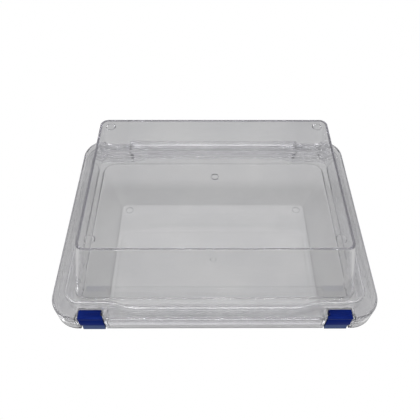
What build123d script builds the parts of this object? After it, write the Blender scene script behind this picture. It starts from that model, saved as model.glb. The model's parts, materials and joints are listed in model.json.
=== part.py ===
from build123d import *
import os

# Clear hinged membrane box.  A base and a lid, near mirror images of each other, meet at the
# parting plane.  Each half is a flared hat: a flat panel, four sloping walls, a horizontal
# flange and a short vertical skirt.  Inside each flange a frame holds a stretched film.
# Two snap latches close the front rim and two pinned hinges carry the lid at the back.
# Millimetres.  +X right, +Y back, +Z up.  Origin: centre of the base's underside.

# ---------------------------------------------------------------- driving dimensions
parting_z = 65.5               # height of the plane where lid and base meet
wall = 2.0                     # wall thickness of both shells

panel_x = 212.0                # flat top panel (and floor), outside
panel_y = 145.0
panel_corner = 7.0
foot_x = 236.0                 # where the sloping walls reach the flange, outside
foot_y = 171.0
foot_corner = 13.0
flange_x = 271.0               # outer outline of flange and skirt
flange_y = 206.0
flange_corner = 22.0
flange_rise = 10.0             # flange face above (or below) the parting plane
bore_clearance = 0.05          # radial, pins in the pieces that turn on them
rim_gap = 0.1                  # lid rim stands this far above the base rim

pocket_corner = 1.0            # rounding of the pockets' corners in plan
panel_edge = 2.0               # fillet round the panel's outer edge
foot_fillet = 2.5              # fillet where wall meets flange
rim_edge = 1.9                 # fillet on the flange's outer edge

ejector_x = 96.0               # ring-shaped ejector marks near the panel's corners
ejector_y = 63.0
ejector_radius = 4.0
gate_radius = 3.0              # ring-shaped gate mark at the panel's centre
mark_width = 0.9               # both are V grooves
ejector_depth = 0.6
gate_depth = 0.4

# ledge rib: the wall under the flange that the film frame lies on
rib_x = 126.0                  # half width, to the rib's outer face
rib_y = 93.3                   # half depth along the middle of front and back
rib_set_back = 4.9             # how much further in it runs behind latches and hinges
rib_bend_start = 65.0          # the S bend runs between these two distances from the centre
rib_bend_end = 91.0
rib_corner = 12.5
rib_width = 1.5
rib_edge = 0.5                 # rounding of its free edge
rib_root = 0.7                 # fillet where it meets the flange

# film frames and films
frame_opening_x = 242.0
frame_opening_y = 174.0
frame_opening_corner = 11.0
frame_thick = 2.5
frame_clearance = 0.3          # round the frame's edge
frame_play = 0.2               # between the frame and the rib that it lies on
film_thick = 0.3
film_gap = 0.5                 # from the parting plane to each film
film_inset = 1.5               # film edge inside the frame's edge
snap_length = 6.0              # bumps behind the pockets that keep the frame in
snap_depth = 0.7
snap_height = 0.5

# latches
latch_centre = 101.0
latch_width = 20.0
latch_side_gap = 0.6
latch_pocket_depth = 9.5
latch_pin_inset = 3.8          # pin axis inside the skirt's face
latch_pin_rise = 6.0           # pin axis above the parting plane
latch_pin_radius = 1.5
latch_pin_length = 25.0
latch_block_height = 8.0       # the block round the pin
latch_block_width = 18.0       # set in on the side away from the corner
latch_block_back = 5.1         # from the pin axis back to its rear face
latch_block_round = 2.5        # rear corners, so that it turns inside the pocket
latch_edge = 1.2               # fillet on the top front edge
latch_plate = 2.6
latch_drop = 8.4               # lower end, below the parting plane
finger_tab_rise = 5.9          # the flared finger tab at the lower end
finger_tab_reach = 0.7
finger_tab_set_in = 1.6        # narrower than the plate on its outer side
nib_reach = 2.0
nib_height = 2.4
lip_reach = 6.2                # keeper lip, from the pocket's back wall outwards
lip_top = 2.5                  # below the parting plane
lip_thick = 2.0
nib_clearance = 0.25

# hinges
hinge_centre = 103.5
hinge_width = 27.0
hinge_side_gap = 0.5
hinge_pocket_depth = 5.0
hinge_axis_out = 0.6           # pin axis behind the skirt's back face
hinge_knuckle = 3.5
hinge_arm_root = 9.0           # arm height where it leaves the pocket wall
hinge_arm_clear = 0.6          # arm clear of the parting plane
hinge_pin_length = 27.0
hinge_pin_radius = 1.5
hinge_middle_width = 13.8      # the lid's knuckle
hinge_gap = 0.3                # between neighbouring knuckles

# ---------------------------------------------------------------- worked-out places
skirt_y = flange_y / 2
flange_z = parting_z + flange_rise
under_flange_z = flange_z - wall
panel_z = 2 * parting_z
inner_panel_z = panel_z - wall
latch_pin_y = -(skirt_y - latch_pin_inset)
latch_pin_z = parting_z + latch_pin_rise
hinge_y = skirt_y + hinge_axis_out
hinge_end_width = (hinge_width - hinge_middle_width) / 2 - hinge_gap
bore_radius = hinge_pin_radius + bore_clearance
rib_drop = film_gap + film_thick + frame_thick + frame_play
block_depth = latch_pin_inset + latch_block_back
block_middle_y = (latch_block_back - latch_pin_inset) / 2
rim_z = parting_z + rim_gap / 2
lip_under = parting_z - lip_top - lip_thick
sides = {"left": -1, "right": 1}

os.makedirs("parts", exist_ok=True)


def save(piece, name):
    piece.label = name
    export_step(piece, f"parts/{name}.step")


# ---------------------------------------------------------------- plan outlines
# Skirt outline: a rounded rectangle with a pocket for each latch and each hinge.
def rim_outline(inset):
    """Skirt outline moved in by inset, with the four pockets grown by the same amount."""
    latch_pocket = latch_width + 2 * latch_side_gap + 2 * inset
    hinge_pocket = hinge_width + 2 * hinge_side_gap + 2 * inset
    with BuildSketch() as outline:
        RectangleRounded(
            flange_x - 2 * inset, flange_y - 2 * inset, flange_corner - inset
        )
        round_corners = outline.vertices()
        for side in sides.values():
            with Locations((side * latch_centre, -skirt_y)):
                Rectangle(
                    latch_pocket, 2 * (latch_pocket_depth + inset), mode=Mode.SUBTRACT
                )
            with Locations((side * hinge_centre, skirt_y)):
                Rectangle(
                    hinge_pocket, 2 * (hinge_pocket_depth + inset), mode=Mode.SUBTRACT
                )
        fillet(outline.vertices() - round_corners, pocket_corner)
    return outline.sketch


skirt_outside = rim_outline(0)
skirt_inside = rim_outline(wall)
frame_outside = rim_outline(wall + frame_clearance)
film_outside = rim_outline(wall + frame_clearance + film_inset)

with BuildSketch() as rib_ring:
    set_back_y = rib_y - rib_set_back
    corner_x = rib_x - rib_corner
    corner_y = set_back_y - rib_corner
    rib_bend_middle = ((rib_bend_start + rib_bend_end) / 2, (rib_y + set_back_y) / 2)
    with BuildLine():
        Line((0, rib_y), (rib_bend_start, rib_y))
        TangentArc((rib_bend_start, rib_y), rib_bend_middle, tangent=(1, 0))
        TangentArc((rib_bend_end, set_back_y), rib_bend_middle, tangent=(-1, 0))
        Line((rib_bend_end, set_back_y), (corner_x, set_back_y))
        RadiusArc((corner_x, set_back_y), (rib_x, corner_y), rib_corner)
        Line((rib_x, corner_y), (rib_x, 0))
        mirror(about=Plane.XZ)
        mirror(about=Plane.YZ)
    make_face()
    offset(amount=-rib_width, mode=Mode.SUBTRACT)


def ring_groove(radius, depth):
    """A V groove in a circle, cut upwards from Z = 0."""
    with BuildPart() as groove:
        with BuildSketch(Plane.XZ):
            Polygon(
                (radius - mark_width / 2, 0),
                (radius, depth),
                (radius + mark_width / 2, 0),
                align=None,
            )
        revolve(axis=Axis.Z)
    return groove.part


ejector_groove = ring_groove(ejector_radius, ejector_depth)
gate_groove = mirror(ring_groove(gate_radius, gate_depth), about=Plane.XY)

# ---------------------------------------------------------------- the half both shells share
# Built as the lid, panel up.  The base is this half turned over through the parting plane.
with BuildPart() as half:
    # sloping walls and panel
    with BuildSketch(Plane.XY.offset(under_flange_z)):
        RectangleRounded(foot_x, foot_y, foot_corner)
    with BuildSketch(Plane.XY.offset(panel_z)):
        RectangleRounded(panel_x, panel_y, panel_corner)
    loft()
    fillet(half.faces().sort_by(Axis.Z)[-1].edges(), panel_edge)
    # flange plate
    with BuildSketch(Plane.XY.offset(under_flange_z)):
        RectangleRounded(flange_x, flange_y, flange_corner)
    extrude(amount=wall)
    # round the inside corner where the walls rise from it, then its outer edge
    flange_edges = half.edges().filter_by_position(Axis.Z, flange_z - 0.01, flange_z + 0.01)
    foot_edges = flange_edges.filter_by(
        lambda edge: abs(edge.center().X) < foot_x / 2 + 1
        and abs(edge.center().Y) < foot_y / 2 + 1
    )
    fillet(foot_edges, foot_fillet)
    flange_edges = half.edges().filter_by_position(Axis.Z, flange_z - 0.01, flange_z + 0.01)
    rim_edges = flange_edges.filter_by(
        lambda edge: abs(edge.center().X) > foot_x / 2 + foot_fillet + 2
        or abs(edge.center().Y) > foot_y / 2 + foot_fillet + 2
    )
    fillet(rim_edges, rim_edge)
    # pockets for the latches and hinges
    with BuildSketch(Plane.XY.offset(under_flange_z)):
        Rectangle(2 * flange_x, 2 * flange_y)
        add(skirt_outside, mode=Mode.SUBTRACT)
    extrude(amount=wall, mode=Mode.SUBTRACT)
    # hollow inside
    with BuildSketch(Plane.XY.offset(under_flange_z)):
        RectangleRounded(foot_x - 2 * wall, foot_y - 2 * wall, foot_corner - wall)
    with BuildSketch(Plane.XY.offset(inner_panel_z)):
        RectangleRounded(panel_x - 2 * wall, panel_y - 2 * wall, panel_corner - wall)
    loft(mode=Mode.SUBTRACT)
    # skirt down to the parting plane
    with BuildSketch(Plane.XY.offset(rim_z)):
        add(skirt_outside)
        add(skirt_inside, mode=Mode.SUBTRACT)
    extrude(amount=under_flange_z - rim_z)
    # ledge rib under the flange
    with BuildSketch(Plane.XY.offset(parting_z + rib_drop)):
        add(rib_ring.sketch)
    extrude(amount=flange_rise - wall - rib_drop)
    root_edges = half.edges(Select.LAST).filter_by_position(
        Axis.Z, under_flange_z - 0.01, under_flange_z + 0.01
    )
    fillet(root_edges, rib_root)
    rib_free_z = parting_z + rib_drop
    free_edges = half.edges().filter_by_position(Axis.Z, rib_free_z - 0.01, rib_free_z + 0.01)
    fillet(free_edges, rib_edge)
    # ejector marks inside the panel and a gate mark outside it
    with Locations((0, 0, inner_panel_z)):
        with GridLocations(2 * ejector_x, 2 * ejector_y, 2, 2):
            add(ejector_groove, mode=Mode.SUBTRACT)
    with Locations((0, 0, panel_z)):
        add(gate_groove, mode=Mode.SUBTRACT)
    # bumps on the inside of the pockets' back walls that snap past the film frame
    with BuildSketch(Plane.XY.offset(parting_z + film_gap + film_thick - snap_height)):
        with GridLocations(2 * latch_centre, 0, 2, 1):
            with Locations((0, -skirt_y + latch_pocket_depth + wall)):
                Rectangle(snap_length, 2 * snap_depth)
        with GridLocations(2 * hinge_centre, 0, 2, 1):
            with Locations((0, skirt_y - hinge_pocket_depth - wall)):
                Rectangle(snap_length, 2 * snap_depth)
    extrude(amount=snap_height)

other_half = mirror(half.part, about=Plane.XY.offset(parting_z), mode=Mode.PRIVATE)


# ---------------------------------------------------------------- hinge knuckles
def knuckle_section(direction):
    """Section of one hinge knuckle: a barrel and its arm, above (1) or below (-1) parting."""
    root_y = skirt_y - hinge_pocket_depth - wall / 2
    with BuildSketch() as section:
        with Locations((hinge_y, parting_z)):
            Circle(hinge_knuckle)
        Polygon(
            (root_y, parting_z + direction * hinge_arm_clear),
            (root_y, parting_z + direction * hinge_arm_root),
            (hinge_y, parting_z + direction * hinge_knuckle),
            (hinge_y, parting_z + direction * hinge_arm_clear),
            align=None,
        )
    return section.sketch


hinge_bore = Location((hinge_y, parting_z))

# ---------------------------------------------------------------- lid
with BuildPart() as lid_shell:
    add(half.part)
    for side in sides.values():
        # middle knuckle of each hinge, bored to run on the pin
        left_face = side * hinge_centre - hinge_middle_width / 2
        with BuildSketch(Plane.YZ.offset(left_face)):
            add(knuckle_section(1))
            with Locations(hinge_bore):
                Circle(bore_radius, mode=Mode.SUBTRACT)
        extrude(amount=hinge_middle_width)
        # holes for the latch pin in the pocket's side walls
        with BuildSketch(Plane.YZ.offset(side * latch_centre - latch_pin_length / 2)):
            with Locations((latch_pin_y, latch_pin_z)):
                Circle(latch_pin_radius)
        extrude(amount=latch_pin_length, mode=Mode.SUBTRACT)
save(lid_shell.part, "lid_shell")

# ---------------------------------------------------------------- base
with BuildPart() as base_shell:
    add(other_half)
    for side in sides.values():
        # outer knuckles of each hinge, a tight fit on the pin
        for start in (-hinge_width / 2, hinge_width / 2 - hinge_end_width):
            with BuildSketch(Plane.YZ.offset(side * hinge_centre + start)):
                add(knuckle_section(-1))
                with Locations(hinge_bore):
                    Circle(hinge_pin_radius, mode=Mode.SUBTRACT)
            extrude(amount=hinge_end_width)
        # keeper lip across the latch pocket
        with BuildSketch(Plane.XY.offset(lip_under)):
            with Locations((side * latch_centre, -skirt_y + latch_pocket_depth)):
                Rectangle(
                    latch_width + 2 * latch_side_gap + wall,
                    lip_reach,
                    align=(Align.CENTER, Align.MAX),
                )
                Rectangle(
                    latch_width + 2 * latch_side_gap + wall,
                    wall / 2,
                    align=(Align.CENTER, Align.MIN),
                )
        extrude(amount=lip_thick)
save(base_shell.part, "base_shell")

# ---------------------------------------------------------------- film frames and films
# Each film lies on its frame's face nearest the parting plane.
for name, turned in (("upper", 1), ("lower", -1)):
    film_z = parting_z + turned * film_gap
    frame_z = film_z + turned * film_thick
    with BuildPart() as film_frame:
        with BuildSketch(Plane.XY.offset(frame_z)):
            add(frame_outside)
            RectangleRounded(
                frame_opening_x,
                frame_opening_y,
                frame_opening_corner,
                mode=Mode.SUBTRACT,
            )
        extrude(amount=turned * frame_thick)
    save(film_frame.part, f"{name}_film_frame")
    with BuildPart() as film:
        with BuildSketch(Plane.XY.offset(film_z)):
            add(film_outside)
        extrude(amount=turned * film_thick)
    save(film.part, f"{name}_film")

# ---------------------------------------------------------------- latches and pins
latch_front_y = -skirt_y
latch_inner_y = latch_front_y + latch_plate
latch_foot_z = parting_z - latch_drop
tab_top_z = latch_foot_z + finger_tab_rise
nib_top_z = lip_under - nib_clearance

for name, side in sides.items():
    block_centre = latch_centre + (latch_width - latch_block_width) / 2
    with BuildPart() as latch:
        # front plate, with the snap nib behind it, flat on top and ramped below
        with BuildSketch(Plane.YZ.offset(side * latch_centre - latch_width / 2)):
            with Locations((latch_front_y, latch_foot_z)):
                Rectangle(
                    latch_plate,
                    latch_pin_z - latch_foot_z,
                    align=(Align.MIN, Align.MIN),
                )
            Polygon(
                (latch_inner_y, nib_top_z),
                (latch_inner_y + nib_reach, nib_top_z),
                (latch_inner_y, nib_top_z - nib_height),
                align=None,
            )
        extrude(amount=latch_width)
        # top cap over the full width, and the block that turns on the pin
        with BuildSketch(Plane.YZ.offset(side * latch_centre - latch_width / 2)):
            with Locations((latch_front_y + latch_plate / 2, latch_pin_z)):
                Rectangle(
                    latch_plate,
                    latch_block_height / 2,
                    align=(Align.CENTER, Align.MIN),
                )
        extrude(amount=latch_width)
        with BuildSketch(Plane.YZ.offset(side * block_centre - latch_block_width / 2)):
            with Locations((latch_pin_y + block_middle_y, latch_pin_z)):
                RectangleRounded(block_depth, latch_block_height, latch_block_round)
        extrude(amount=latch_block_width)
        # finger tab flared out at the lower end
        with BuildSketch(Plane.YZ.offset(side * latch_centre - latch_width / 2)):
            Polygon(
                (latch_front_y, tab_top_z),
                (latch_front_y - finger_tab_reach, latch_foot_z),
                (latch_front_y, latch_foot_z),
                align=None,
            )
        extrude(amount=latch_width)
        # the tab is set in on its outer side, below the flange corner
        with BuildSketch(Plane.XY.offset(latch_foot_z)):
            with Locations((side * (latch_centre + latch_width / 2), latch_front_y)):
                Rectangle(2 * finger_tab_set_in, 4 * latch_plate)
        extrude(amount=finger_tab_rise, mode=Mode.SUBTRACT)
        # running bore
        with BuildSketch(Plane.YZ.offset(side * latch_centre - latch_width / 2)):
            with Locations((latch_pin_y, latch_pin_z)):
                Circle(latch_pin_radius + bore_clearance)
        extrude(amount=latch_width, mode=Mode.SUBTRACT)
        top_front = latch.edges().filter_by(Axis.X).group_by(Axis.Z)[-1].sort_by(Axis.Y)[0]
        fillet(top_front, latch_edge)
    save(latch.part, f"{name}_latch")
    with BuildPart() as latch_pin:
        with BuildSketch(Plane.YZ.offset(side * latch_centre - latch_pin_length / 2)):
            with Locations((latch_pin_y, latch_pin_z)):
                Circle(latch_pin_radius)
        extrude(amount=latch_pin_length)
    save(latch_pin.part, f"{name}_latch_pin")
    with BuildPart() as hinge_pin:
        with BuildSketch(Plane.YZ.offset(side * hinge_centre - hinge_pin_length / 2)):
            with Locations(hinge_bore):
                Circle(hinge_pin_radius)
        extrude(amount=hinge_pin_length)
    save(hinge_pin.part, f"{name}_hinge_pin")
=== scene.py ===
# %% [markdown]
# # A clear hinged membrane box, closed
# The real object is a storage box for one small delicate thing.  Two clear halves, moulded
# almost alike, meet at a flat rim.  Each half carries a stretched film on a frame, and the
# thing is held between the films.  Two blue snap latches close the front, and two pinned
# hinges carry the lid at the back.  Nearly everything is seen through something clear, so
# most of the work is in how light bends, reflects and dims in polystyrene.

import json
import math

import bmesh
import bpy
from mathutils import Matrix, Vector


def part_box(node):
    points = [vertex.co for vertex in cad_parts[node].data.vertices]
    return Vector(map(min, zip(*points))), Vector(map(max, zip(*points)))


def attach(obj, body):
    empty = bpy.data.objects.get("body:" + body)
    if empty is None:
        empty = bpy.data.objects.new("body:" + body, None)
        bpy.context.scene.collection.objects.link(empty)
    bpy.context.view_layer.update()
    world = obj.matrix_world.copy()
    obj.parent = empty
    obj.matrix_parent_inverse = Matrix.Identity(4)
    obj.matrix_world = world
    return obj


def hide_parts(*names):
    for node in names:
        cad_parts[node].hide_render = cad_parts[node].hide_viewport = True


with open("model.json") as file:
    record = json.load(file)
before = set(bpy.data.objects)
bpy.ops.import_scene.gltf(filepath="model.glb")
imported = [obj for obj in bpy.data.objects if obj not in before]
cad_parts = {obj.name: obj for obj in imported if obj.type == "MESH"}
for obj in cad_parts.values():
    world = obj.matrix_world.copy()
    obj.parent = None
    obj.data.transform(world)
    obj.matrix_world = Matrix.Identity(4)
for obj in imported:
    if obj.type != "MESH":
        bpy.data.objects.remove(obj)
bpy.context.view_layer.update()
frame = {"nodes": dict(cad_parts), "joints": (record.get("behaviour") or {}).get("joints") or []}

# %% [markdown]
# ## Small tools
# A mould maker thinks in millimetres, so the sizes below are in millimetres and are turned
# to metres once.  Colours are sRGB hex values, turned to linear by one function.  One more
# function adds a shader node with everything that belongs to it, and another gives the place
# of a surface point in millimetres, so that every pattern can be given its real size.

# %% Units and colours
MM = 0.001


def linear(hex_colour):
    """An sRGB hex value such as '0a1c63' as a linear RGBA colour."""
    channels = [int(hex_colour[start : start + 2], 16) / 255 for start in (0, 2, 4)]
    return [
        value / 12.92 if value <= 0.04045 else ((value + 0.055) / 1.055) ** 2.4
        for value in channels
    ] + [1.0]


print("a middle grey is", round(linear("808080")[0], 3), "in linear light")


# %% Nodes and materials
def add_node(tree, kind, settings=None, values=None, links=None, stops=None):
    """Adds a shader node: its settings, socket values, links into it, and ramp stops."""
    node = tree.nodes.new(kind)
    for name, value in (settings or {}).items():
        setattr(node, name, value)
    for name, value in (values or {}).items():
        node.inputs[name].default_value = value
    for name, source in (links or {}).items():
        tree.links.new(source, node.inputs[name])
    if stops:
        first, *middle, last = stops
        ends = node.color_ramp.elements
        ends[0].position, ends[0].color = first[0], linear(first[1])
        ends[1].position, ends[1].color = last[0], linear(last[1])
        for position, colour in middle:
            ends.new(position).color = linear(colour)
    return node


def new_material(name):
    """An empty node material: the material, its tree and its output node."""
    material = bpy.data.materials.new(name)
    material.use_nodes = True
    tree = material.node_tree
    tree.nodes.clear()
    return material, tree, add_node(tree, "ShaderNodeOutputMaterial")


def place_in_mm(tree, stretch=(1.0, 1.0, 1.0), turn=0.0):
    """The surface point in millimetres, each axis divided by stretch, then turned about Z."""
    point = add_node(tree, "ShaderNodeTexCoord")
    scaled = add_node(
        tree,
        "ShaderNodeMapping",
        {"vector_type": "POINT"},
        {
            "Rotation": (0.0, 0.0, math.radians(turn)),
            "Scale": [1 / (MM * size) for size in stretch],
        },
        {"Vector": point.outputs["Object"]},
    )
    return scaled.outputs["Vector"]


print("tools ready")

# %% [markdown]
# ## Camera
# The box is looked down on from the front, from 1.6 times its own length away, with a short
# normal lens.  Such a near view makes the lid's panel look larger than the floor panel under
# it.  The camera's height is counted from the plane where the halves meet.

# %% Camera
hinge = next(joint for joint in frame["joints"] if joint["name"] == "lid_hinge")
parting = hinge["pos_m"][2]

CAMERA_RIGHT, CAMERA_BACK, CAMERA_UP = -6.14 * MM, -254.65 * MM, 350.0 * MM
CAMERA_DOWN, CAMERA_TURN, CAMERA_ROLL = 52.38, -0.51, 0.36
LENS, FILM_BACK = 38.65, 36.0

camera_data = bpy.data.cameras.new("camera")
camera_data.lens = LENS
camera_data.sensor_width = FILM_BACK
camera_data.clip_start = 10 * MM
camera = bpy.data.objects.new("camera", camera_data)
bpy.context.collection.objects.link(camera)
camera.matrix_world = (
    Matrix.Translation((CAMERA_RIGHT, CAMERA_BACK, parting + CAMERA_UP))
    @ Matrix.Rotation(math.radians(CAMERA_TURN), 4, "Z")
    @ Matrix.Rotation(math.radians(90 - CAMERA_DOWN), 4, "X")
    @ Matrix.Rotation(math.radians(CAMERA_ROLL), 4, "Z")
)
bpy.context.scene.camera = camera
print("camera at", [round(v, 3) for v in camera.location])

# %% [markdown]
# ## Light
# Clear plastic has no colour to light.  It shows only where it bends or reflects something
# that is brighter or darker than what lies straight behind it.  A studio gives it that with
# large white screens and darker gaps between them.  The sky here is such a set: grey round
# the horizon, a darker belt, and white overhead.  Three long thin lamps are there for narrow
# reflections on rounded edges.

# %% Sky
SKY_STRENGTH = 1.3
world = bpy.data.worlds.new("studio")
bpy.context.scene.world = world
world.use_nodes = True
sky = world.node_tree
sky.nodes.clear()
direction = add_node(sky, "ShaderNodeTexCoord")
height = add_node(
    sky, "ShaderNodeSeparateXYZ", links={"Vector": direction.outputs["Generated"]}
)
belts = add_node(
    sky,
    "ShaderNodeValToRGB",
    links={"Fac": height.outputs["Z"]},
    stops=[(0.0, "b8b8b9"), (0.35, "a0a0a1"), (0.62, "7f8081"), (0.90, "ffffff")],
)
glow = add_node(
    sky,
    "ShaderNodeBackground",
    values={"Strength": SKY_STRENGTH},
    links={"Color": belts.outputs["Color"]},
)
add_node(sky, "ShaderNodeOutputWorld", links={"Surface": glow.outputs["Background"]})
print("sky belts", len(belts.color_ramp.elements))


# %% Lamps
def soft_lamp(name, place, size, watts):
    """A rectangular soft lamp aimed at the middle of the box."""
    data = bpy.data.lights.new(name, "AREA")
    data.shape = "RECTANGLE"
    data.size, data.size_y = size
    data.energy = watts
    lamp = bpy.data.objects.new(name, data)
    bpy.context.collection.objects.link(lamp)
    lamp.location = place
    aim = Vector((0, 0, parting)) - Vector(place)
    lamp.rotation_euler = aim.to_track_quat("-Z", "Y").to_euler()


LAMPS = {
    "strip_above": ((0.0, 0.25, 1.3), (1.4, 0.04), 1.0),
    "strip_front": ((0.0, -1.0, 1.1), (1.6, 0.05), 6.0),
    "strip_left": ((-1.1, 0.1, 1.0), (0.07, 1.2), 2.0),
}
for name, (place, size, watts) in LAMPS.items():
    soft_lamp(name, place, size, watts)
print("lamps", ", ".join(LAMPS))

# %% [markdown]
# ## Floor
# Catalogue pictures of clear products are cut out onto pure white, while through the plastic
# one still sees the pale grey backdrop they stood on.  The floor does both: it looks white
# where nothing is in front of it, and grey where it is seen through the box.  The grey is
# lightest right under the flat underside, which lies on the backdrop, and darkest just
# outside it, where the overhanging rim would keep the light away.  The shade is drawn, since
# the floor gives off its own light and no shadow can fall on it.

# %% Where the box stands
ON_BACKDROP = 0.1  # mm; a point lower than this belongs to the flat underside
base_corners = [
    vertex.co
    for vertex in frame["nodes"]["base_shell"].data.vertices
    if vertex.co.z < ON_BACKDROP * MM
]
foot_x = max(corner.x for corner in base_corners) / MM
foot_y = max(corner.y for corner in base_corners) / MM
print("underside, half sizes in mm", round(foot_x, 1), round(foot_y, 1))

# %% Floor material
SHADE_REACH = 160.0  # mm from the underside's edge to where the backdrop is unshaded
SIDE_SPREAD = 2.0  # the shade spreads this much further to the sides
SHADES = (  # mm from the underside's edge, and the grey there
    (0.0, "f3f3f3"),
    (0.8, "989898"),
    (2.5, "b0b0b0"),
    (26, "aeaeae"),
    (42, "c4c4c4"),
    (70, "cbcbcb"),
    (SHADE_REACH, "cacaca"),
)
floor_material, tree, floor_output = new_material("matt_paper_backdrop")
folded = add_node(
    tree,
    "ShaderNodeVectorMath",
    {"operation": "ABSOLUTE"},
    links={0: place_in_mm(tree, (SIDE_SPREAD, 1.0, 1.0))},
)
beyond = add_node(
    tree,
    "ShaderNodeVectorMath",
    {"operation": "SUBTRACT"},
    {1: (foot_x / SIDE_SPREAD, foot_y, 0.0)},
    {0: folded.outputs["Vector"]},
)
outside = add_node(
    tree,
    "ShaderNodeVectorMath",
    {"operation": "MAXIMUM"},
    {1: (0.0, 0.0, 0.0)},
    {0: beyond.outputs["Vector"]},
)
distance = add_node(
    tree, "ShaderNodeVectorMath", {"operation": "LENGTH"}, links={0: outside.outputs["Vector"]}
)
reach = add_node(
    tree,
    "ShaderNodeMath",
    {"operation": "DIVIDE"},
    {1: SHADE_REACH},
    {0: distance.outputs["Value"]},
)
shade = add_node(
    tree,
    "ShaderNodeValToRGB",
    links={"Fac": reach.outputs["Value"]},
    stops=[(out / SHADE_REACH, grey) for out, grey in SHADES],
)
ray = add_node(tree, "ShaderNodeLightPath")
seen = add_node(
    tree,
    "ShaderNodeMix",
    {"data_type": "RGBA"},
    {"B": linear("ffffff")},
    {"Factor": ray.outputs["Is Camera Ray"], "A": shade.outputs["Color"]},
)
glow = add_node(tree, "ShaderNodeEmission", links={"Color": seen.outputs["Result"]})
tree.links.new(glow.outputs["Emission"], floor_output.inputs["Surface"])
print("floor material", floor_material.name)

# %% Floor mesh
FLOOR_HALF, FLOOR_DROP = 40.0, 0.5 * MM  # metres; so large that its edge stays out of view
floor_mesh = bpy.data.meshes.new("floor")
floor_mesh.from_pydata(
    [
        (x * FLOOR_HALF, y * FLOOR_HALF, -FLOOR_DROP)
        for x, y in ((-1, -1), (1, -1), (1, 1), (-1, 1))
    ],
    [],
    [(0, 1, 2, 3)],
)
floor_mesh.materials.append(floor_material)
floor = bpy.data.objects.new("floor", floor_mesh)
bpy.context.collection.objects.link(floor)
print("floor", 2 * FLOOR_HALF, "m square")


# %% [markdown]
# ## Crystal polystyrene: the lid and the base
# Crystal polystyrene is the clearest of the cheap moulding plastics.  It is injection
# moulded in polished steel, so it is smooth as glass, and it bends light strongly (IOR
# 1.59), so every edge shows as a line.  A plain glass shader would be too perfect.  The real
# moulding has long shallow waves where the melt flowed, small dimples, a cloudy unevenness
# from stress, and after some use fine rubbed scratches.  All four are added here.  Light that
# runs along inside a wall also dims, which darkens edges more than faces.  How much it dims
# here is given, not measured.

# %% Crystal polystyrene
FLOW_WAVE = 55.0  # mm, from one wave of the flow to the next
FLOW_HEIGHT = 0.3  # mm, how high the waves are drawn
FLOW_STRENGTH, PEEL_STRENGTH = 0.12, 0.3  # shares of those heights that show
PEEL, PEEL_HEIGHT = 4.0, 0.02  # mm, the small dimples that break a long highlight into dashes
CLEAR_DENSITY = 36.0  # 60 mm along a wall loses nearly two fifths of the light
CLEAR_TINT = "e4e3e7"  # the faint lavender grey of what is left
SCRATCH_LONG, SCRATCH_WIDE = 45.0, 0.5  # mm; real ones are 0.05 wide, too fine to show
SCRATCH_TURN = 24.0  # degrees; it turns the noise, but the scratches still run along X
POLYSTYRENE_IOR = 1.59


def crystal_polystyrene():
    material, tree, output = new_material("crystal_polystyrene_polished")
    flow = add_node(
        tree,
        "ShaderNodeTexNoise",
        values={"Scale": 1 / FLOW_WAVE, "Detail": 2.0},
        links={"Vector": place_in_mm(tree)},
    )
    waves = add_node(
        tree,
        "ShaderNodeBump",
        values={"Strength": FLOW_STRENGTH, "Distance": FLOW_HEIGHT * MM},
        links={"Height": flow.outputs["Fac"]},
    )
    peel = add_node(
        tree,
        "ShaderNodeTexNoise",
        values={"Scale": 1 / PEEL, "Detail": 1.0},
        links={"Vector": place_in_mm(tree)},
    )
    dimples = add_node(
        tree,
        "ShaderNodeBump",
        values={"Strength": PEEL_STRENGTH, "Distance": PEEL_HEIGHT * MM},
        links={"Height": peel.outputs["Fac"], "Normal": waves.outputs["Normal"]},
    )
    cloud = add_node(
        tree,
        "ShaderNodeValToRGB",
        links={"Fac": flow.outputs["Fac"]},
        stops=[(0.3, "f7f7f8"), (0.7, "fdfdfd")],
    )
    scratch = add_node(
        tree,
        "ShaderNodeTexNoise",
        values={"Scale": 1.0, "Detail": 1.0},
        links={
            "Vector": place_in_mm(
                tree, (SCRATCH_LONG, SCRATCH_WIDE, SCRATCH_LONG), SCRATCH_TURN
            )
        },
    )
    rubbed = add_node(
        tree,
        "ShaderNodeValToRGB",
        links={"Fac": scratch.outputs["Fac"]},
        stops=[(0.66, "000000"), (0.72, "5c5c5c")],
    )
    plastic = add_node(
        tree,
        "ShaderNodeBsdfPrincipled",
        values={"IOR": POLYSTYRENE_IOR, "Transmission Weight": 1.0},
        links={
            "Base Color": cloud.outputs["Color"],
            "Roughness": rubbed.outputs["Color"],
            "Normal": dimples.outputs["Normal"],
        },
    )
    tree.links.new(plastic.outputs["BSDF"], output.inputs["Surface"])
    body = add_node(
        tree,
        "ShaderNodeVolumeAbsorption",
        values={"Color": linear(CLEAR_TINT), "Density": CLEAR_DENSITY},
    )
    tree.links.new(body.outputs["Volume"], output.inputs["Volume"])
    return material


for name in ("lid_shell", "base_shell"):
    shell = frame["nodes"][name]
    shell.data.materials.clear()
    shell.data.materials.append(crystal_polystyrene())
print("polystyrene on lid_shell and base_shell")


# %% [markdown]
# ## Film frames
# The frames are thinner mouldings of the same plastic, left as they come from a less
# polished tool.  They sit in the rim behind several walls, where they show as no more than
# faint lines.  Their IOR is set lower than polystyrene's 1.59, to keep those lines faint.

# %% Frame polystyrene
FRAME_IOR = 1.45
FRAME_ROUGHNESS = 0.03
FRAME_GRAIN = 6.0  # mm, the unevenness of a milled, unpolished tool


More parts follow.
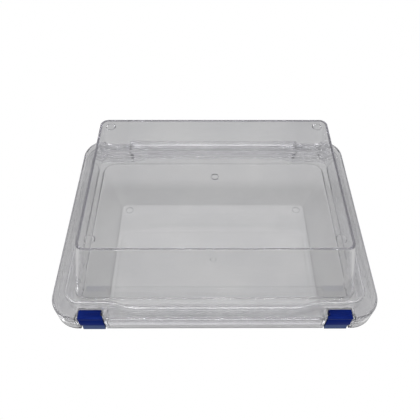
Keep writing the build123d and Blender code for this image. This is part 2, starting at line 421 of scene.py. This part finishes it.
def frame_polystyrene():
    material, tree, output = new_material("frame_polystyrene_as_moulded")
    grain = add_node(
        tree,
        "ShaderNodeTexNoise",
        values={"Scale": 1 / FRAME_GRAIN, "Detail": 2.0},
        links={"Vector": place_in_mm(tree)},
    )
    tone = add_node(
        tree,
        "ShaderNodeValToRGB",
        links={"Fac": grain.outputs["Fac"]},
        stops=[(0.35, "f0f0f1"), (0.65, "fafafa")],
    )
    plastic = add_node(
        tree,
        "ShaderNodeBsdfPrincipled",
        values={
            "Roughness": FRAME_ROUGHNESS,
            "IOR": FRAME_IOR,
            "Transmission Weight": 1.0,
        },
        links={"Base Color": tone.outputs["Color"]},
    )
    tree.links.new(plastic.outputs["BSDF"], output.inputs["Surface"])
    body = add_node(
        tree,
        "ShaderNodeVolumeAbsorption",
        values={"Color": linear(CLEAR_TINT), "Density": CLEAR_DENSITY},
    )
    tree.links.new(body.outputs["Volume"], output.inputs["Volume"])
    return material


frame_plastic = frame_polystyrene()
for name in ("upper_film_frame", "lower_film_frame"):
    film_frame = frame["nodes"][name]
    film_frame.data.materials.clear()
    film_frame.data.materials.append(frame_plastic)
print("polystyrene on the two film frames")

# %% [markdown]
# ## Stretched films
# Each film is polyurethane elastomer under 0.1 mm thick, stretched flat and bonded to the
# face of its frame.  A cloth simulation would settle it back to flat, since nothing lies in
# the closed box, so the sheet is cut by mesh code instead.  Its outline is the top face of
# the plain CAD film.  A grid of cuts gives it points to move, and those inside the frame sink
# by a fraction of a millimetre, with faint ripples that run out from the corners.

# %% Film mesh
FILM_GRID = 12.0  # mm between cuts
FILM_SINK = 0.25  # mm at the middle
FILM_RIPPLE = 0.05  # mm
RIPPLES = 9  # waves in a quarter turn
TOP_LAYER = 0.01  # mm; faces further below the top than this are left out
SAME_POINT = 0.001  # mm; points nearer than this are one
FLAT = math.radians(1)  # faces that meet at less than this are one


def film_height(x, y, half_x, half_y):
    """How far the stretched film lies below its frame's plane, in millimetres."""
    inside = max(0.0, 1 - (x / half_x) ** 2) * max(0.0, 1 - (y / half_y) ** 2)
    corner = abs(x / half_x) * abs(y / half_y)
    fan = math.atan2(half_y - abs(y), half_x - abs(x))
    return FILM_SINK * inside + FILM_RIPPLE * corner * inside * math.cos(4 * RIPPLES * fan)


def cut_film(node_name, piece_name):
    low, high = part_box(node_name)
    sheet = bmesh.new()
    sheet.from_mesh(frame["nodes"][node_name].data)
    rest = [
        face
        for face in sheet.faces
        if face.calc_center_median().z < high[2] - TOP_LAYER * MM
    ]
    bmesh.ops.delete(sheet, geom=rest, context="FACES")
    bmesh.ops.remove_doubles(sheet, verts=sheet.verts, dist=SAME_POINT * MM)
    bmesh.ops.dissolve_limit(
        sheet, angle_limit=FLAT, verts=sheet.verts, edges=sheet.edges
    )
    for axis, half in ((0, high[0]), (1, high[1])):
        across = Vector((axis == 0, axis == 1, 0))
        cuts = int(half / (FILM_GRID * MM))
        for step in range(-cuts, cuts + 1):
            bmesh.ops.bisect_plane(
                sheet,
                geom=sheet.verts[:] + sheet.edges[:] + sheet.faces[:],
                plane_co=across * step * FILM_GRID * MM,
                plane_no=across,
            )
    middle = (low[2] + high[2]) / 2
    for vertex in sheet.verts:
        down = film_height(vertex.co.x, vertex.co.y, high[0], high[1])
        vertex.co.z = middle - down * MM
    for face in sheet.faces:
        face.smooth = True
    mesh = bpy.data.meshes.new(piece_name)
    sheet.to_mesh(mesh)
    sheet.free()
    film = bpy.data.objects.new(piece_name, mesh)
    bpy.context.collection.objects.link(film)
    return film


# %% Film material
FILM_VEIL = 0.07  # share of the light that the film's dull skin keeps back
FILM_SKIN = 20.0  # mm, from one darker patch of the skin to the next
FILM_ROUGHNESS, FILM_IOR = 0.12, 1.5


def polyurethane_film():
    material, tree, output = new_material("polyurethane_film_matt_skin")
    skin = add_node(
        tree,
        "ShaderNodeTexNoise",
        values={"Scale": 1 / FILM_SKIN, "Detail": 3.0},
        links={"Vector": place_in_mm(tree)},
    )
    tone = add_node(
        tree,
        "ShaderNodeValToRGB",
        links={"Fac": skin.outputs["Fac"]},
        stops=[(0.3, "dcdde0"), (0.7, "f2f2f3")],
    )
    film = add_node(
        tree,
        "ShaderNodeBsdfPrincipled",
        values={"Roughness": FILM_ROUGHNESS, "IOR": FILM_IOR, "Alpha": FILM_VEIL},
        links={"Base Color": tone.outputs["Color"]},
    )
    tree.links.new(film.outputs["BSDF"], output.inputs["Surface"])
    return material


# %% Both films
film_plastic = polyurethane_film()
for side, body in (("upper", "lid"), ("lower", "base")):
    node_name = f"{side}_film"
    film = cut_film(node_name, f"stretched_{node_name}")
    film.data.materials.append(film_plastic)
    film_area = sum(polygon.area for polygon in film.data.polygons)
    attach(film, body)
    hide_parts(node_name)
    print(film.name, len(film.data.polygons), "faces", round(film_area, 5), "m2")


# %% [markdown]
# ## Snap latches
# Each latch is moulded in dark blue polypropylene, which can be flexed thousands of times.
# A moulding never has a knife edge: the tool's corners are rounded, and each round catches a
# thin line of light.  The plain CAD latch has the right shape but mostly sharp edges, so the
# piece starts from a copy of it.  Its outer edges are bevelled, a groove is pressed into the
# front just under the top edge, and three grip beads are laid on top.

# %% Latch mesh
EDGE_ROUND, EDGE_STEPS = 0.35, 2  # mm, and the number of flats in the round
SHARP = math.radians(30)
BORE_KEEP = 2.2  # mm round the pin axis where nothing is bevelled
GROOVE_TOP, GROOVE_WIDE, GROOVE_DEEP = 2.0, 0.8, 0.5  # mm, from the latch's top edge
BEAD_RADIUS, BEAD_SPACING, BEAD_COUNT = 0.5, 2.1, 3
BEAD_SHOWS = 0.25  # mm above the top face
BEAD_HALF_LENGTH = 7.0  # mm
LATCH_PIN_INSET = 3.8  # mm from the latch's front face to the pin's axis


def round_edges(body, axis_y, axis_z):
    """Bevels every sharp edge of the latch but those of its bore."""
    sharp = [
        edge
        for edge in body.edges
        if len(edge.link_faces) == 2
        and edge.calc_face_angle() > SHARP
        and max(
            math.hypot(end.co.y - axis_y, end.co.z - axis_z) for end in edge.verts
        ) > BORE_KEEP * MM
    ]
    bmesh.ops.bevel(
        body,
        geom=sharp,
        offset=EDGE_ROUND * MM,
        segments=EDGE_STEPS,
        profile=0.5,
        affect="EDGES",
        clamp_overlap=True,
    )
    return len(sharp)


def press_groove(body, front, top):
    """A shallow groove across the front face, just below the latch's top edge."""
    upper = top - GROOVE_TOP * MM
    lower = upper - GROOVE_WIDE * MM
    lip = GROOVE_WIDE * MM / 4
    for level in (upper, upper - lip, lower + lip, lower):
        bmesh.ops.bisect_plane(
            body,
            geom=body.verts[:] + body.edges[:] + body.faces[:],
            plane_co=(0, 0, level),
            plane_no=(0, 0, 1),
        )
    for vertex in body.verts:
        if vertex.co.y < front + EDGE_ROUND * MM and (
            lower + lip / 2 < vertex.co.z < upper - lip / 2
        ):
            vertex.co.y += GROOVE_DEEP * MM


def add_bead(body, centre, half_length):
    """A grip bead along X: a ball drawn out into a rod with round ends."""
    ball = bmesh.ops.create_uvsphere(
        body, u_segments=12, v_segments=8, radius=BEAD_RADIUS * MM
    )
    for vertex in ball["verts"]:
        turned = Vector((vertex.co.z, vertex.co.y, -vertex.co.x))
        turned.x += math.copysign(half_length - BEAD_RADIUS * MM, turned.x)
        vertex.co = centre + turned


def latch_piece(name):
    """The finished latch, and how many of its edges were rounded."""
    joint = next(joint for joint in frame["joints"] if joint["name"] == f"{name}_pivot")
    _, axis_y, axis_z = joint["pos_m"]
    low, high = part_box(name)
    body = bmesh.new()
    body.from_mesh(frame["nodes"][name].data)
    bmesh.ops.remove_doubles(body, verts=body.verts, dist=SAME_POINT * MM)
    bmesh.ops.dissolve_limit(body, angle_limit=FLAT, verts=body.verts, edges=body.edges)
    rounded = round_edges(body, axis_y, axis_z)
    front = axis_y - LATCH_PIN_INSET * MM
    press_groove(body, front, high[2])
    middle_x = (low[0] + high[0]) / 2
    bead_z = high[2] - (BEAD_RADIUS - BEAD_SHOWS) * MM
    for row in range(BEAD_COUNT):
        bead_y = axis_y + (row - (BEAD_COUNT - 1) / 2) * BEAD_SPACING * MM
        add_bead(body, Vector((middle_x, bead_y, bead_z)), BEAD_HALF_LENGTH * MM)
    for face in body.faces:
        face.smooth = True
    bmesh.ops.recalc_face_normals(body, faces=body.faces)
    mesh = bpy.data.meshes.new(f"snap_{name}")
    body.to_mesh(mesh)
    body.free()
    mesh.set_sharp_from_angle(angle=SHARP)
    latch = bpy.data.objects.new(f"snap_{name}", mesh)
    bpy.context.collection.objects.link(latch)
    return latch, rounded


# %% [markdown]
# ## Blue polypropylene
# Polypropylene is a waxy plastic with a soft sheen, its IOR about 1.49.  The tool was spark
# eroded, which leaves a fine even grain, here drawn at 0.7 mm because the real 0.05 mm would
# not show.  The flow of the melt leaves the blue a little uneven.  The lower tab is thin and
# is flexed by fingers.  It is painted paler, a painted reflection of the white table below it.
# The specular level is kept low so that reflections don't wash out the dark blue.

# %% Blue polypropylene
SPARK_GRAIN = 0.7  # mm
SPARK_STRENGTH = 0.25  # the share of the grain's depth that shows
BLUE_FLOW, FLOW_STRETCH = 5.0, 4.0  # mm, and how much longer the patches are along X
SHEEN_SMOOTH, SHEEN_ROUGH = 0.34, 0.5  # roughness, which follows the flow
# painted reflection: the paler blue of the lower tab stands in for the white table's reflection
TAB_REFLECTION_BLUE = "3e507e"
TAB_HEIGHT, TAB_BLEND = 5.6, 0.8  # mm, the paler tab and where it begins
POLYPROPYLENE_IOR, BLUE_SPECULAR = 1.49, 0.08
SPARK_DEPTH = 0.05  # mm


def blue_polypropylene(foot_z):
    """The latch plastic, for a latch whose lower end is at foot_z."""
    material, tree, output = new_material("blue_polypropylene_spark_eroded")
    flow = add_node(
        tree,
        "ShaderNodeTexNoise",
        values={"Scale": 1 / BLUE_FLOW, "Detail": 2.0},
        links={"Vector": place_in_mm(tree, (FLOW_STRETCH, 1.0, 1.0))},
    )
    blue = add_node(
        tree,
        "ShaderNodeValToRGB",
        links={"Fac": flow.outputs["Fac"]},
        stops=[(0.3, "00145a"), (0.7, "04206e")],
    )
    point = add_node(
        tree, "ShaderNodeSeparateXYZ", links={"Vector": place_in_mm(tree)}
    )
    # painted reflection: below this height the lower tab is blended to the paler blue
    begins = foot_z / MM + TAB_HEIGHT
    painted_tab_reflection = add_node(
        tree,
        "ShaderNodeMapRange",
        values={"From Min": begins + TAB_BLEND, "From Max": begins},
        links={"Value": point.outputs["Z"]},
    )
    colour = add_node(
        tree,
        "ShaderNodeMix",
        {"data_type": "RGBA"},
        {"B": linear(TAB_REFLECTION_BLUE)},
        {"Factor": painted_tab_reflection.outputs["Result"], "A": blue.outputs["Color"]},
    )
    sheen = add_node(
        tree,
        "ShaderNodeMapRange",
        values={"To Min": SHEEN_SMOOTH, "To Max": SHEEN_ROUGH},
        links={"Value": flow.outputs["Fac"]},
    )
    grain = add_node(
        tree,
        "ShaderNodeTexNoise",
        values={"Scale": 1 / SPARK_GRAIN, "Detail": 3.0},
        links={"Vector": place_in_mm(tree)},
    )
    pits = add_node(
        tree,
        "ShaderNodeBump",
        values={"Strength": SPARK_STRENGTH, "Distance": SPARK_DEPTH * MM},
        links={"Height": grain.outputs["Fac"]},
    )
    plastic = add_node(
        tree,
        "ShaderNodeBsdfPrincipled",
        values={"IOR": POLYPROPYLENE_IOR, "Specular IOR Level": BLUE_SPECULAR},
        links={
            "Base Color": colour.outputs["Result"],
            "Roughness": sheen.outputs["Result"],
            "Normal": pits.outputs["Normal"],
        },
    )
    tree.links.new(plastic.outputs["BSDF"], output.inputs["Surface"])
    return material


# %% Both latches
latch_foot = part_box("left_latch")[0][2]
latch_plastic = blue_polypropylene(latch_foot)
for side in ("left", "right"):
    name = f"{side}_latch"
    latch, rounded = latch_piece(name)
    latch.data.materials.append(latch_plastic)
    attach(latch, name)
    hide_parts(name)
    print(latch.name, rounded, "edges rounded", len(latch.data.polygons), "faces")


# %% [markdown]
# ## Pins
# The hinge pins and the latch pins are cut from clear acrylic rod, IOR 1.49.  The rod is
# drawn, which leaves faint lines along it.

# %% Acrylic rod
DRAWN_LINE, DRAWN_LENGTH = 0.6, 30.0  # mm; real lines are finer than would show
DRAWN_DEPTH, DRAWN_STRENGTH = 0.02, 0.2  # mm, and the share of it that shows
ACRYLIC_IOR, ACRYLIC_ROUGHNESS = 1.49, 0.05


def acrylic_rod():
    material, tree, output = new_material("acrylic_rod_drawn")
    lines = add_node(
        tree,
        "ShaderNodeTexNoise",
        values={"Scale": 1.0, "Detail": 1.0},
        links={"Vector": place_in_mm(tree, (DRAWN_LENGTH, DRAWN_LINE, DRAWN_LINE))},
    )
    ridges = add_node(
        tree,
        "ShaderNodeBump",
        values={"Strength": DRAWN_STRENGTH, "Distance": DRAWN_DEPTH * MM},
        links={"Height": lines.outputs["Fac"]},
    )
    tone = add_node(
        tree,
        "ShaderNodeValToRGB",
        links={"Fac": lines.outputs["Fac"]},
        stops=[(0.3, "eef0f1"), (0.7, "fbfbfb")],
    )
    plastic = add_node(
        tree,
        "ShaderNodeBsdfPrincipled",
        values={
            "Roughness": ACRYLIC_ROUGHNESS,
            "IOR": ACRYLIC_IOR,
            "Transmission Weight": 1.0,
        },
        links={"Base Color": tone.outputs["Color"], "Normal": ridges.outputs["Normal"]},
    )
    tree.links.new(plastic.outputs["BSDF"], output.inputs["Surface"])
    return material


acrylic = acrylic_rod()
pins = [node for name, node in frame["nodes"].items() if name.endswith("_pin")]
for pin in pins:
    pin.data.materials.clear()
    pin.data.materials.append(acrylic)
print("acrylic on", len(pins), "pins")

# %% [markdown]
# ## Light through many walls
# A ray through both panels crosses four faces of plastic and two films, and one through the
# rim crosses many more.  Inside a wall it can also be thrown back from face to face.  A ray
# that is stopped too early comes back black, so all four limits are high.

# %% Bounces and tone
WALL_CROSSINGS = 96
scene = bpy.context.scene
scene.view_settings.view_transform = "Standard"
scene.cycles.max_bounces = WALL_CROSSINGS
scene.cycles.transmission_bounces = WALL_CROSSINGS
scene.cycles.transparent_max_bounces = WALL_CROSSINGS
scene.cycles.glossy_bounces = WALL_CROSSINGS
print("bounces", WALL_CROSSINGS)
